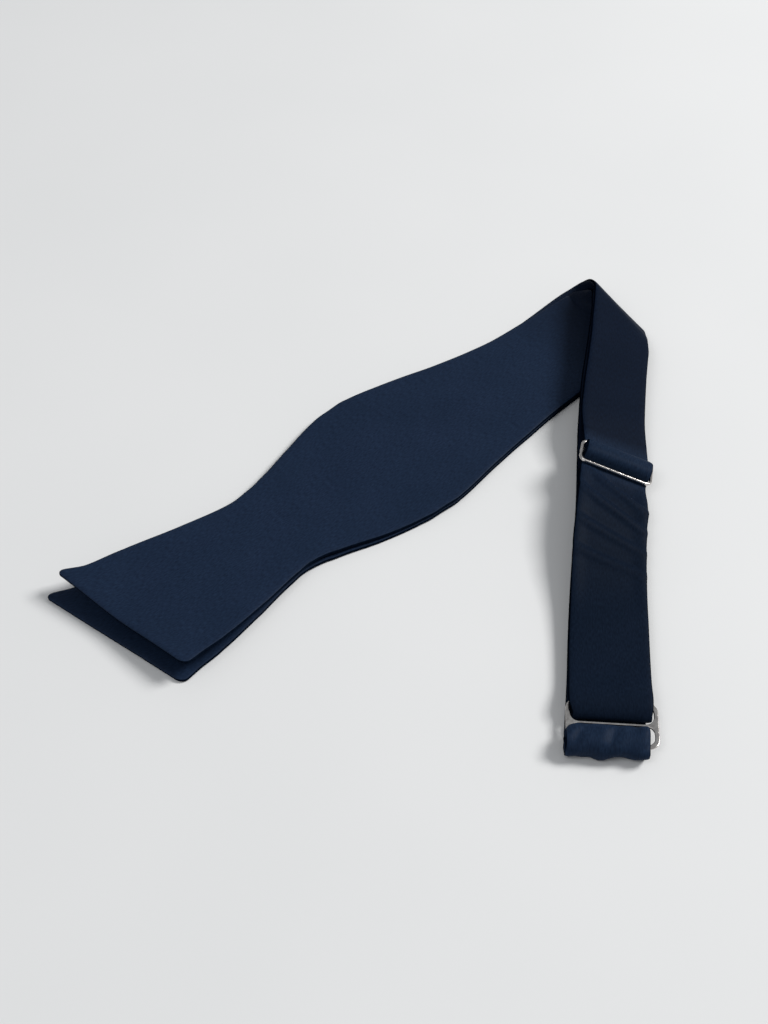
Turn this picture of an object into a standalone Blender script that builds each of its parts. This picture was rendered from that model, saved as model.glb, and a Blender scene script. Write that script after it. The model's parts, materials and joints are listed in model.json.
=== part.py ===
"""Self-tie bow tie, laid folded in half: two satin bow blades with a neck band each, an adjuster slider on the
upper band and a two-slot connector plate that joins the bands at the back of the neck.  Lengths are in
millimetres and become metres at the end; +Z is up, and the origin is under the middle of the bounding box."""

from math import cos, radians, sin

import bmesh
import bpy
from mathutils import Matrix, Vector

MM = 0.001
MIDDLE = Vector((-1.608, 4.309, 0))

# Cloth: every layer is two satin panels with an interlining between them.
PANEL = 0.25
INTERLINING = 0.40
GAP = 0.25
LAYER = 2 * PANEL + INTERLINING + 2 * GAP
PANEL_OFFSET = (INTERLINING + PANEL) / 2 + GAP
STEP_UP = LAYER + GAP
LEVEL_1 = LAYER / 2
LEVEL_2 = LEVEL_1 + STEP_UP
SEAM_MARGIN = 1.6
INTERLINING_INSET = 2.0

# Bow blades: widths along the blade from its tip, and how the two tips splay.
BLADE_TIP = Vector((-77.9, -57.6, 0))
BLADE_HEADING = radians(41.3)
BLADE_WIDTHS = (
    (0, 57.0), (8, 52.5), (20, 50.0), (40, 43.7), (57, 38.4), (64, 38.8), (72, 42.4), (88, 52.0),
    (104, 59.8), (112, 61.3), (120, 61.4), (140, 54.3), (160, 47.2), (172, 43.5), (182, 41.4),
)
BLADE_SHIFTS = (
    (0, 1.5), (8, 0.1), (40, 0.0), (56, 0.65), (64, 1.45), (88, 1.95),
    (104, 2.85), (128, 3.3), (144, 3.0), (160, 2.15), (172, 1.9), (182, 1.7),
)
BLADE_STATIONS = (0, 10, 20, 30, 40, 49, 57, 64, 72, 80, 88, 95, 101, 107, 112, 118, 126, 136, 147)
BLADE_END = 158.0
UPPER_SLANT = 0.16
LOWER_SLANT = 0.23
SLANT_LENGTH = 45.0
TIP_RISE = 5.6
RISE_LENGTH = 105.0
UPPER_TIP_AHEAD = -1.0
LOWER_TIP_AHEAD = 3.0
LOWER_TIP_ASIDE = 0.4
ASIDE_LENGTH = 60.0

# Neck bands: the pair runs straight from the connector to the fold, lying flat at first and rolled about its
# right-hand edge from the slider on, so that its left-hand edge stands off the table.
BAND = 24.0
BAND_START = Vector((71.0, -92.7, 0))
BAND_HEADING = radians(-5.9)
ROLL = radians(16.7)
ROLL_START, ROLL_END = 25.0, 88.0
BAND_BOW = (
    (86, -2.3, -1.4), (76, -2.6, -1.8), (66, -2.5, -1.8), (56, -2.1, -1.6),
    (46, -1.7, -1.3), (36, -1.5, -0.9), (26, -1.4, -0.6), (16, -1.2, -0.3),
)
RETURN_BOW = 0.8
RETURN_LEVEL = 1.85
TOP_LEVEL = 3.6
FIXED_ASIDE = -1.5
SPLIT = 0.3

# Connector plate at the back of the neck.
CONNECTOR_HEADING = radians(-4.0)
CONNECTOR_HEIGHT = 3.85
CONNECTOR_WIDTH, CONNECTOR_DEPTH, CONNECTOR_CORNER = 27.4, 16.6, 3.4
CONNECTOR_THICKNESS = 0.9
CONNECTOR_RAIL = 1.4
CONNECTOR_BAR = 1.0
CONNECTOR_SLOT = (CONNECTOR_DEPTH - 2 * CONNECTOR_RAIL - CONNECTOR_BAR) / 2
CONNECTOR_RIM = (CONNECTOR_DEPTH - CONNECTOR_RAIL) / 2

# Slider on the adjusting band.
SLIDER_CENTRE = Vector((82.4, 9.85, 8.8))
SLIDER_HEADING = radians(-13.5)
SLIDER_TILT = radians(7.5)
SLIDER_WIDTH, SLIDER_CORNER = 26.4, 2.6
SLIDER_BAR = 1.1
SLIDER_PITCH = 5.1
HUMP_HALF = 11.8
WRAP = SLIDER_BAR / 2 + 0.35 + LAYER / 2

METAL_EDGE = 0.2
TACK_SIZE = (18.0, 0.7, 0.6)

# Joints: the bands unfold about the bend, the upper blade lifts about a line across its root.
UNFOLD_PLACE = Vector((90.5, 87.0, 5.5))
LIFT_HEIGHT = 3.08


def clear_scene():
    for obj in list(bpy.data.objects):
        bpy.data.objects.remove(obj, do_unlink=True)


def material(name, colour, roughness, metallic=0.0):
    mat = bpy.data.materials.new(name)
    mat.use_nodes = True
    shader = mat.node_tree.nodes["Principled BSDF"]
    shader.inputs["Base Color"].default_value = (*colour, 1)
    shader.inputs["Roughness"].default_value = roughness
    shader.inputs["Metallic"].default_value = metallic
    return mat


def turned(heading, along, across, z=0.0):
    """A point given along a heading and to the left of it."""
    return Vector((
        along * cos(heading) - across * sin(heading),
        along * sin(heading) + across * cos(heading),
        z,
    ))


def catmull(p0, p1, p2, p3, t):
    return 0.5 * (
        2 * p1 + (p2 - p0) * t + (2 * p0 - 5 * p1 + 4 * p2 - p3) * t * t
        + (3 * p1 - p0 - 3 * p2 + p3) * t ** 3
    )


def smoothed(stations, spans):
    """Each station is a pair of edge points; the result passes through all of them on a smooth curve."""
    padded = [stations[0], *stations, stations[-1]]
    result = []
    for i in range(len(stations) - 1):
        for k in range(spans):
            t = k / spans
            result.append(tuple(
                catmull(*(padded[i + j][side] for j in range(4)), t) for side in (0, 1)
            ))
    result.append(stations[-1])
    return result


def knotted(knots, s):
    """The value at s on a smooth curve through the knots."""
    values = [knots[0][1], *(value for _, value in knots), knots[-1][1]]
    for i, ((s0, _), (s1, _)) in enumerate(zip(knots, knots[1:])):
        if s <= s1:
            return catmull(*values[i:i + 4], (s - s0) / (s1 - s0))
    return knots[-1][1]


def blade_point(s, n, z):
    return BLADE_TIP + turned(BLADE_HEADING, s, n, z)


def blade_station(s, z, slant=0.0, ahead=0.0, aside=0.0):
    """Far and near edge points of a blade, s millimetres from its tip."""
    half = knotted(BLADE_WIDTHS, s) / 2
    middle = knotted(BLADE_SHIFTS, s) - aside * max(0.0, 1 - s / ASIDE_LENGTH)
    slope = slant * max(0.0, 1 - s / SLANT_LENGTH)
    start = s - ahead * max(0.0, 1 - s / BLADE_END)
    return (
        blade_point(start - slope * half, middle + half, z),
        blade_point(start + slope * half, middle - half, z),
    )


def upper_blade_height(s):
    return LEVEL_2 + TIP_RISE * max(0.0, 1 - s / RISE_LENGTH) ** 2


class Frame:
    """A place on the object: p runs to the right, q towards the fold and z up, after heading, roll and tilt."""

    def __init__(self, centre, heading, roll=0.0, tilt=0.0):
        self.centre = centre
        turn = Matrix.Rotation(heading, 3, "Z") @ Matrix.Rotation(roll, 3, "Y") @ Matrix.Rotation(-tilt, 3, "X")
        self.turn = turn.to_4x4()

    def at(self, p, q, z=0.0):
        return self.centre + self.turn.to_3x3() @ Vector((p, q, z))

    def world(self, offset=(0, 0, 0)):
        return Matrix.Translation((self.at(*offset) - MIDDLE) * MM) @ self.turn


def run(frame, path, half):
    """Stations for a band that follows a path of (q, z) points in a frame."""
    return [(frame.at(-half, q, z), frame.at(half, q, z)) for q, z in path]


def arc(centre_q, centre_z, radius, start, end, steps):
    angles = [radians(start + (end - start) * k / steps) for k in range(steps + 1)]
    return [(centre_q + radius * cos(a), centre_z + radius * sin(a)) for a in angles]


def band_roll(q):
    share = min(max((q - ROLL_START) / (ROLL_END - ROLL_START), 0.0), 1.0)
    return ROLL * share * share * (3 - 2 * share)


def band_station(q, height, left=0.0, right=0.0):
    """Edge points of a band layer whose middle is a height above the middle of the lowest layer."""
    edge = BAND_START + turned(BAND_HEADING, BAND / 2, q, LEVEL_1)
    frame = Frame(edge, BAND_HEADING, band_roll(q))
    return frame.at(left - BAND, 0, height), frame.at(right, 0, height)


def sheet(name, stations, offset, thickness, mat, collection, columns=0, seam=True):
    """One ply of a layer: an open grid between the edge curves, offset along its normal, given a thickness."""
    mesh = bpy.data.meshes.new(name)
    bm = bmesh.new()
    rows = []
    for i, (left, right) in enumerate(stations):
        before = stations[max(i - 1, 0)]
        after = stations[min(i + 1, len(stations) - 1)]
        forward = (after[0] + after[1] - before[0] - before[1]).normalized()
        width = right - left
        normal = width.cross(forward).normalized()
        margin = SEAM_MARGIN / width.length
        first = margin if seam else 0.0
        shares = [first + (1 - 2 * first) * k / (columns + 1) for k in range(columns + 2)]
        if seam:
            shares = [0.0, *shares, 1.0]
        inset = 0.0 if seam else INTERLINING_INSET / width.length
        row = []
        for share in shares:
            lift = offset
            if seam and share in (0.0, 1.0):
                lift = offset * (PANEL + GAP) / 2 / PANEL_OFFSET
            place = left + width * (inset + share * (1 - 2 * inset)) + normal * lift
            row.append(bm.verts.new((place - MIDDLE) * MM))
        rows.append(row)
    for row, following in zip(rows, rows[1:]):
        for k in range(len(row) - 1):
            bm.faces.new((row[k], following[k], following[k + 1], row[k + 1]))
    bm.to_mesh(mesh)
    bm.free()
    obj = bpy.data.objects.new(name, mesh)
    collection.objects.link(obj)
    obj.data.materials.append(mat)
    solid = obj.modifiers.new("thickness", "SOLIDIFY")
    solid.thickness = thickness * MM
    solid.offset = 0.0
    return obj


def layer(prefix, stations, satin, canvas, collection, columns=0):
    """Two satin panels, which meet in a seam along both edges, and the interlining between them."""
    sheet(prefix + "_front_panel", stations, PANEL_OFFSET, PANEL, satin, collection, columns)
    sheet(prefix + "_interlining", stations, 0.0, INTERLINING, canvas, collection, columns, seam=False)
    sheet(prefix + "_back_panel", stations, -PANEL_OFFSET, PANEL, satin, collection, columns)


def rounded_outline(curve, width, depth, radius, centre_q=0.0, reverse=False):
    """A closed rounded rectangle as one spline of a 2D curve."""
    points = []
    corners = ((1, 1, 0), (-1, 1, 90), (-1, -1, 180), (1, -1, 270))
    for sx, sy, start in corners:
        for k in range(5):
            a = radians(start + 22.5 * k)
            points.append((
                sx * (width / 2 - radius) + radius * cos(a),
                centre_q + sy * (depth / 2 - radius) + radius * sin(a),
            ))
    if reverse:
        points.reverse()
    spline = curve.splines.new("POLY")
    spline.points.add(len(points) - 1)
    for point, (x, y) in zip(spline.points, points):
        point.co = (x * MM, y * MM, 0, 1)
    spline.use_cyclic_u = True


def slotted_plate(name, world, size, slots, thickness, mat, collection):
    """A stamped plate: a flat outline with slots, extruded; size and slots are width, depth, radius, centre."""
    curve = bpy.data.curves.new(name + "_outline", "CURVE")
    curve.dimensions = "2D"
    curve.fill_mode = "BOTH"
    curve.extrude = thickness / 2 * MM
    rounded_outline(curve, *size)
    for slot in slots:
        rounded_outline(curve, *slot, reverse=True)
    outline = bpy.data.objects.new(name + "_outline", curve)
    collection.objects.link(outline)
    bpy.context.view_layer.update()
    mesh = bpy.data.meshes.new_from_object(outline.evaluated_get(bpy.context.evaluated_depsgraph_get()))
    bm = bmesh.new()
    bm.from_mesh(mesh)
    bmesh.ops.remove_doubles(bm, verts=bm.verts, dist=0.00001)
    bm.to_mesh(mesh)
    bm.free()
    bpy.data.objects.remove(outline, do_unlink=True)
    mesh.name = name
    mesh.materials.clear()
    mesh.materials.append(mat)
    obj = bpy.data.objects.new(name, mesh)
    obj.matrix_world = world
    collection.objects.link(obj)
    bevel = obj.modifiers.new("soft_edges", "BEVEL")
    bevel.width = METAL_EDGE * MM
    bevel.segments = 1
    bevel.limit_method = "ANGLE"


def tack(name, world, mat, collection):
    """A bar tack: a short dense row of thread across the band."""
    mesh = bpy.data.meshes.new(name)
    bm = bmesh.new()
    bmesh.ops.create_cube(bm, size=1.0)
    bmesh.ops.scale(bm, vec=Vector(TACK_SIZE) * MM, verts=bm.verts)
    bm.to_mesh(mesh)
    bm.free()
    mesh.materials.append(mat)
    obj = bpy.data.objects.new(name, mesh)
    obj.matrix_world = world
    collection.objects.link(obj)


# The folds and the bands next to them, by their edge points.
UPPER_BEND = (
    (blade_point(198, 22.2, LEVEL_2), blade_point(197, -17.6, LEVEL_2)),
    ((69.6, 101.5, 2.4), (87.0, 65.5, 2.4)),
    ((74.5, 105.6, 2.7), (92.5, 71.0, 2.5)),
    ((76.4, 106.0, 3.6), (96.6, 76.0, 2.55)),
    ((78.4, 105.0, 5.6), (98.3, 77.4, 2.75)),
    ((80.6, 102.5, 8.4), (98.8, 77.6, 3.3)),
    ((82.0, 99.5, 10.8), (99.0, 76.0, 3.7)),
    ((82.0, 96.6, 12.2), (99.2, 74.0, 3.95)),
    ((81.5, 93.2, 12.55), (99.4, 72.0, 4.15)),
    ((81.1, 88.7, 12.25), (99.4, 69.6, 4.3)),
    ((79.9, 81.0, 11.9), (99.0, 66.0, 4.4)),
    ((78.6, 73.6, 11.5), (98.3, 61.8, 4.4)),
    ((75.8, 59.0, 11.0), (97.0, 53.8, 4.3)),
)
LOWER_BEND = (
    (blade_point(200, 23.6, LEVEL_1), blade_point(197, -18.0, LEVEL_1)),
    ((70.1, 106.1, 0.8), (89.0, 66.0, 0.8)),
    ((75.9, 111.0, 1.2), (95.5, 73.5, 0.9)),
    ((79.0, 112.6, 2.4), (99.6, 79.6, 1.25)),
    ((80.6, 111.7, 4.6), (101.0, 83.0, 2.3)),
    ((82.0, 108.7, 8.0), (101.0, 82.6, 3.5)),
    ((82.6, 104.5, 11.0), (100.9, 80.7, 4.5)),
    ((82.9, 100.4, 13.2), (100.9, 78.3, 5.1)),
    ((82.8, 96.8, 14.2), (101.0, 75.7, 5.65)),
    ((81.8, 89.0, 14.15), (100.8, 72.5, 6.1)),
    ((80.2, 79.1, 13.85), (100.5, 68.3, 6.3)),
    ((79.2, 71.8, 13.45), (99.8, 64.3, 6.3)),
    ((76.5, 57.1, 12.9), (98.1, 54.7, 6.1)),
)
FIXED_NEAR_FOLD = (
    ((75.8, 59.0, 11.0), (97.0, 53.8, 4.3)),
    ((74.3, 51.5, 10.8), (96.0, 47.2, 4.0)),
    ((73.0, 43.5, 10.4), (94.9, 40.2, 3.5)),
    ((71.8, 34.5, 9.5), (93.9, 32.0, 2.4)),
)
UPPER_NEAR_FOLD = (
    ((76.5, 57.1, 12.9), (98.1, 54.7, 6.1)),
    ((75.0, 49.5, 12.7), (97.1, 48.0, 6.0)),
    ((73.8, 42.5, 12.5), (96.1, 41.0, 5.8)),
    ((72.2, 31.8, 11.9), (94.7, 29.5, 5.3)),
)


def edge_points(table):
    return [(Vector(left), Vector(right)) for left, right in table]


def pulled_back(stations):
    """The same stations with the first moved on by the width of a split, so that two pieces meet with a gap."""
    (left, right), (left2, right2) = stations[:2]
    share = SPLIT / (left2 + right2 - left - right).length * 2
    return [(left.lerp(left2, share), right.lerp(right2, share)), *stations[1:]]


def fold(level, bend):
    """From the end of a blade over the soft bend to the bands."""
    root = [blade_station(s, level) for s in (BLADE_END + SPLIT, 170, 182)]
    return root + smoothed(edge_points(bend), 2)


def fixed_band():
    """From the fold flat down to the connector, where its end rolls round the near rim."""
    places = (118, 100, *(bow[0] for bow in BAND_BOW), 4)
    straight = [band_station(q, 0.0, FIXED_ASIDE, FIXED_ASIDE) for q in places]
    return pulled_back(edge_points(FIXED_NEAR_FOLD)) + straight


def connector_roll(frame):
    """The fixed band's end: up round the near rim, down through the near slot and back under the rim."""
    path = [(3.0, LEVEL_1), (-4.0, LEVEL_1)]
    path += arc(-CONNECTOR_RIM - 0.1, LEVEL_1 + 2.4, 2.4, -90, -270, 8)
    path += arc(-3.4, LEVEL_1 + 4.8 - 1.575, 1.575, 90, -90, 6)
    path += [(-6.0, LEVEL_2)]
    flare = [0.0] * 11 + [0.3, 0.9, 2.1]
    stations = []
    for k, (q, z) in enumerate(path):
        left = -14.0 + (flare[k] if k < len(flare) else 2.5)
        stations.append((frame.at(left, q, z), frame.at(9.8 + 0.8 * min(k / 7, 1.0), q, z)))
    return stations


def upper_run(slider):
    """The adjusting band from the fold to the slider's far bar."""
    far_bar = run(slider, [(SLIDER_PITCH + 1.7, -WRAP)], HUMP_HALF)
    return pulled_back(smoothed(edge_points(UPPER_NEAR_FOLD) + far_bar, 2))


def hump(slider):
    """Under the far bar, over the sewn loop on the centre bar, and under the near bar."""
    rise = SLIDER_PITCH
    over = rise - WRAP
    path = [(rise + 1.3, -WRAP)]
    path += arc(rise, 0, WRAP, -90, -180, 3)
    path += arc(0, 0, over, 0, 180, 8)[1:-1]
    path += arc(-rise, 0, WRAP, 0, -90, 3)
    path += [(-rise - 1.3, -WRAP)]
    return run(slider, path, HUMP_HALF)


def long_run(slider, connector):
    """From the slider's near bar to the connector, round its far rim and back underneath to the sewn loop."""
    top = run(slider, [(-SLIDER_PITCH - 1.7, -WRAP)], HUMP_HALF)
    top += [band_station(q, TOP_LEVEL + max(0.0, 0.02 * (q - 66)), left, right) for q, left, right in BAND_BOW]
    bend = [(9.6, 5.7), (7.2, 5.75), (5.6, 5.55), (4.3, 5.1), (3.2, 4.45), (2.5, 3.85)]
    bend += arc(3.5, LEVEL_2 + 1.15, 1.15, 180, 270, 3) + [(9.0, LEVEL_2)]
    sides = ((12.9, 12.2), (12.9, 12.2), (12.7, 12.1), (12.2, 12.0))
    around = []
    for k, (q, z) in enumerate(bend):
        left, right = sides[k] if k < len(sides) else (11.8, 11.8)
        around.append((connector.at(-left, q, z), connector.at(right, q, z)))
    back = [
        band_station(q, RETURN_LEVEL, RETURN_BOW * left, RETURN_BOW * right)
        for q, left, right in reversed(BAND_BOW)
    ]
    end = run(slider, [(-SLIDER_PITCH - 1.4, -WRAP - STEP_UP - 0.1)], HUMP_HALF)
    return top + around + back + end


def sewn_loop(slider):
    """The adjusting band's end, wrapped round the slider's centre bar and tacked down."""
    path = [(-SLIDER_PITCH - 1.1, -WRAP - STEP_UP - 0.1), (-3.0, -2.75), (-1.3, -1.95)]
    path += arc(0, 0, WRAP, -90, 190, 10)
    return run(slider, path, HUMP_HALF)


def hang_on_axis(name, place, prefixes, collection):
    """An empty on a joint's axis, which carries the pieces whose names start so."""
    axis = bpy.data.objects.new(name, None)
    axis.empty_display_size = 5 * MM
    axis.location = (place - MIDDLE) * MM
    collection.objects.link(axis)
    bpy.context.view_layer.update()
    for obj in collection.objects:
        if obj.type == "MESH" and obj.name.startswith(prefixes):
            obj.parent = axis
            obj.matrix_parent_inverse = axis.matrix_world.inverted()


def build():
    clear_scene()
    collection = bpy.data.collections.new("bow_tie")
    bpy.context.scene.collection.children.link(collection)
    satin = material("navy_satin", (0.012, 0.021, 0.044), 0.42)
    canvas = material("interlining_canvas", (0.62, 0.58, 0.5), 0.9)
    nickel = material("polished_nickel", (0.72, 0.7, 0.68), 0.2, 1.0)
    thread = material("navy_thread", (0.015, 0.024, 0.05), 0.7)

    connector = Frame(BAND_START, CONNECTOR_HEADING)
    plate = Frame(BAND_START + Vector((0, 0, CONNECTOR_HEIGHT)), CONNECTOR_HEADING)
    slider = Frame(SLIDER_CENTRE, SLIDER_HEADING, ROLL, SLIDER_TILT)

    blade = (*BLADE_STATIONS, BLADE_END)
    upper = [blade_station(s, upper_blade_height(s), UPPER_SLANT, UPPER_TIP_AHEAD) for s in blade]
    lower = [blade_station(s, LEVEL_1, LOWER_SLANT, LOWER_TIP_AHEAD, LOWER_TIP_ASIDE) for s in blade]
    layer("upper_blade", upper, satin, canvas, collection, columns=1)
    layer("lower_blade", lower, satin, canvas, collection, columns=1)
    layer("upper_fold", fold(LEVEL_2, UPPER_BEND), satin, canvas, collection, columns=1)
    layer("lower_fold", fold(LEVEL_1, LOWER_BEND), satin, canvas, collection, columns=1)
    layer("fixed_band", fixed_band(), satin, canvas, collection, columns=2)
    layer("connector_roll", connector_roll(connector), satin, canvas, collection)
    layer("adjusting_band_upper", upper_run(slider), satin, canvas, collection)
    layer("slider_hump", hump(slider), satin, canvas, collection)
    layer("adjusting_band_loop", long_run(slider, connector), satin, canvas, collection, columns=2)
    layer("slider_sewn_loop", sewn_loop(slider), satin, canvas, collection)

    slot_width = CONNECTOR_WIDTH - 2 * CONNECTOR_RAIL
    slot_centre = (CONNECTOR_SLOT + CONNECTOR_BAR) / 2
    slotted_plate(
        "connector_plate", plate.world(), (CONNECTOR_WIDTH, CONNECTOR_DEPTH, CONNECTOR_CORNER),
        [(slot_width, CONNECTOR_SLOT, 1.6, side * slot_centre) for side in (1, -1)],
        CONNECTOR_THICKNESS, nickel, collection,
    )
    slot_width = SLIDER_WIDTH - 2 * SLIDER_BAR
    slot_depth = SLIDER_PITCH - SLIDER_BAR
    slotted_plate(
        "adjuster_slider", slider.world(), (SLIDER_WIDTH, 2 * SLIDER_PITCH + SLIDER_BAR, SLIDER_CORNER),
        [(slot_width, slot_depth, 0.8, side * SLIDER_PITCH / 2) for side in (1, -1)],
        SLIDER_BAR, nickel, collection,
    )
    tack("connector_roll_tack", connector.world((-0.6, -7.1, LEVEL_2)), thread, collection)
    tack("sewn_loop_tack", slider.world((0, -2.1, -0.9)), thread, collection)

    bands = ("fixed_band", "connector_roll", "adjusting_band")
    hang_on_axis("bands_unfold_axis", UNFOLD_PLACE, bands, collection)
    hang_on_axis("upper_blade_lift_axis", blade_point(BLADE_END, 0, LIFT_HEIGHT), "upper_blade_", collection)
    hang_on_axis("slider_slide_axis", slider.at(0, 0), ("slider_", "sewn_loop_tack"), collection)
    hang_on_axis("slider_tilt_axis", slider.at(0, 0), "adjuster_slider", collection)
    hang_on_axis("connector_swing_axis", plate.at(0, -CONNECTOR_RIM), "connector_plate", collection)


build()
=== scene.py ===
"""The looks of a navy satin self-tie bow tie, laid folded in half on a pale table.

Every cloth piece is a closed strip lofted between two edge curves, with rolled and seamed edges and its
soft relief in the mesh; the adjuster slider and the connector plate are stamped metal with rounded rims.
Lengths are in millimetres and become metres when a mesh is made; the frame's origin is under the middle of
the object."""

import json
from math import ceil, copysign, cos, exp, pi, radians, sin, sqrt

import bmesh
import bpy
from mathutils import Matrix, Vector, noise

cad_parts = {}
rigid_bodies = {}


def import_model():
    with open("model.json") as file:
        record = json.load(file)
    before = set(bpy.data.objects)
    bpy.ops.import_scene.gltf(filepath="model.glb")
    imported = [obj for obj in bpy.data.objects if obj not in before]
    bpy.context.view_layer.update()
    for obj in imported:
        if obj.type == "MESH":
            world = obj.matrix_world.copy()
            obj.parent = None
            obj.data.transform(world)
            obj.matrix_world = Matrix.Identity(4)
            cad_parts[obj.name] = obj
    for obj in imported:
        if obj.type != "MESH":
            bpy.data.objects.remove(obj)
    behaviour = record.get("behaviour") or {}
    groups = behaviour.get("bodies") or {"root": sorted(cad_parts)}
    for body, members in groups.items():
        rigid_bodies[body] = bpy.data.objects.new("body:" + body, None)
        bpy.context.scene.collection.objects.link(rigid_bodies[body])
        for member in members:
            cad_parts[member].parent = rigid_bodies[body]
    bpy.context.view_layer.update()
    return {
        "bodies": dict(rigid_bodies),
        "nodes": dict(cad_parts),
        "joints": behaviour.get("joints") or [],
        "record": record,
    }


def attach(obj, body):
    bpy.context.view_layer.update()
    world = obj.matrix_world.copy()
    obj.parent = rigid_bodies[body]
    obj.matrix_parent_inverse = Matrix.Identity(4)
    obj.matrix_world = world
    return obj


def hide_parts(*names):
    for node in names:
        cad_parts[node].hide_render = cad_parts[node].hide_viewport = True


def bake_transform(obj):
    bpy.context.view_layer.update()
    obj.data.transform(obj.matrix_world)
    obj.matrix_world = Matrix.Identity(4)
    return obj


MM = 0.001
MIDDLE = Vector((-1.608, 4.309, 0))

# Cloth, as in the CAD: every layer is two satin panels with an interlining between them.
LAYER = 1.4
STEP_UP = 1.65
LEVEL_1 = 0.7
LEVEL_2 = 2.35
EDGE_HALF = 0.26
EDGE_ROLL = 1.9
SEAM_DEPTH = 0.22
EDGE_COLUMNS = (0.0, 0.25, 0.6, 1.1, 1.8, 2.8)
INNER_COLUMNS = 18
SHARP_EDGE = radians(65)
STATION_STEP = 1.2

# Bow blades.
BLADE_TIP = Vector((-77.9, -57.6, 0))
BLADE_HEADING = radians(41.3)
BLADE_WIDTHS = (
    (0, 57.0), (8, 52.5), (20, 50.0), (40, 43.7), (57, 38.4), (64, 38.8), (72, 42.4), (88, 52.0),
    (104, 59.8), (112, 61.3), (120, 61.4), (140, 54.3), (160, 47.2), (172, 43.5), (182, 41.4),
)
BLADE_SHIFTS = (
    (0, 1.5), (8, 0.1), (40, 0.0), (56, 0.65), (64, 1.45), (88, 1.95),
    (104, 2.85), (128, 3.3), (144, 3.0), (160, 2.15), (172, 1.9), (182, 1.7),
)
BLADE_END = 158.0
BLADE_STEP = 1.6
CORNER = 2.8
UPPER_SLANT = 0.16
LOWER_SLANT = 0.23
SLANT_LENGTH = 45.0
TIP_RISE = 5.6
RISE_LENGTH = 105.0
UPPER_TIP_AHEAD = -1.0
LOWER_TIP_AHEAD = 3.0
LOWER_TIP_ASIDE = 0.4
ASIDE_LENGTH = 60.0

# Neck bands.
BAND = 24.0
BAND_START = Vector((71.0, -92.7, 0))
BAND_HEADING = radians(-5.9)
ROLL = radians(16.7)
ROLL_START, ROLL_END = 25.0, 88.0
BAND_BOW = (
    (86, -2.3, -1.4), (76, -2.6, -1.8), (66, -2.5, -1.8), (56, -2.1, -1.6),
    (46, -1.7, -1.3), (36, -1.5, -0.9), (26, -1.4, -0.6), (16, -1.2, -0.3),
)
RETURN_BOW = 0.8
RETURN_LEVEL = 1.85
TOP_LEVEL = 3.6
FIXED_ASIDE = -1.5
PLAIN_BAND = (227.0, 999.0)
ROLL_LENGTH = 29.0

# Connector plate and slider.
CONNECTOR_HEADING = radians(-4.0)
CONNECTOR_HEIGHT = 3.85
CONNECTOR_WIDTH, CONNECTOR_DEPTH, CONNECTOR_CORNER = 27.4, 16.6, 3.4
CONNECTOR_THICKNESS = 0.65
CONNECTOR_RAIL = 1.4
CONNECTOR_BAR = 0.8
CONNECTOR_SLOT = (CONNECTOR_DEPTH - 2 * CONNECTOR_RAIL - CONNECTOR_BAR) / 2
CONNECTOR_RIM = (CONNECTOR_DEPTH - CONNECTOR_RAIL) / 2
SLIDER_CENTRE = Vector((82.4, 9.85, 8.8))
SLIDER_HEADING = radians(-13.5)
SLIDER_TILT = radians(7.5)
SLIDER_WIDTH, SLIDER_CORNER = 26.4, 2.6
SLIDER_BAR = 1.1
SLIDER_PITCH = 5.1
HUMP_HALF = 11.8
HUMP_SQUARE = 0.72
TACK_LENGTH = 18.0
STITCH_PITCH = 0.36
WRAP = SLIDER_BAR / 2 + 0.35 + LAYER / 2

# Camera and light.
CAMERA_PLACE = Vector((3.9, -344.6, 371.0))
CAMERA_PITCH = 47.5
CAMERA_LENS = 52.734


def turned(heading, along, across, z=0.0):
    """A point given along a heading and to the left of it."""
    return Vector((
        along * cos(heading) - across * sin(heading),
        along * sin(heading) + across * cos(heading),
        z,
    ))


def catmull(p0, p1, p2, p3, t):
    return 0.5 * (
        2 * p1 + (p2 - p0) * t + (2 * p0 - 5 * p1 + 4 * p2 - p3) * t * t
        + (3 * p1 - p0 - 3 * p2 + p3) * t ** 3
    )


def smooth_step(x, low, high):
    share = min(max((x - low) / (high - low), 0.0), 1.0)
    return share * share * (3 - 2 * share)


def smoothed(stations, step):
    """Edge-point pairs through all the given ones on a smooth curve, at most a step apart."""
    stations = [(Vector(left), Vector(right)) for left, right in stations]
    padded = [stations[0], *stations, stations[-1]]
    result = []
    for i in range(len(stations) - 1):
        length = max((stations[i + 1][side] - stations[i][side]).length for side in (0, 1))
        spans = max(1, ceil(length / step))
        for k in range(spans):
            t = k / spans
            result.append(tuple(
                catmull(*(padded[i + j][side] for j in range(4)), t) for side in (0, 1)
            ))
    result.append(stations[-1])
    return result


def knotted(knots, s):
    """The value at s on a smooth curve through the knots."""
    values = [knots[0][1], *(value for _, value in knots), knots[-1][1]]
    for i, ((s0, _), (s1, _)) in enumerate(zip(knots, knots[1:])):
        if s <= s1:
            return catmull(*values[i:i + 4], (s - s0) / (s1 - s0))
    return knots[-1][1]


def blade_point(s, n, z):
    return BLADE_TIP + turned(BLADE_HEADING, s, n, z)


def blade_station(s, z, slant=0.0, ahead=0.0, aside=0.0):
    """Far and near edge points of a blade, s millimetres from its tip."""
    half = knotted(BLADE_WIDTHS, s) / 2
    middle = knotted(BLADE_SHIFTS, s) - aside * max(0.0, 1 - s / ASIDE_LENGTH)
    slope = slant * max(0.0, 1 - s / SLANT_LENGTH)
    start = s - ahead * max(0.0, 1 - s / BLADE_END)
    if s < CORNER:
        half -= CORNER - sqrt(CORNER ** 2 - (CORNER - s) ** 2)
    return (
        blade_point(start - slope * half, middle + half, z),
        blade_point(start + slope * half, middle - half, z),
    )


def upper_blade_height(s):
    return LEVEL_2 + TIP_RISE * max(0.0, 1 - s / RISE_LENGTH) ** 2


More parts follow.
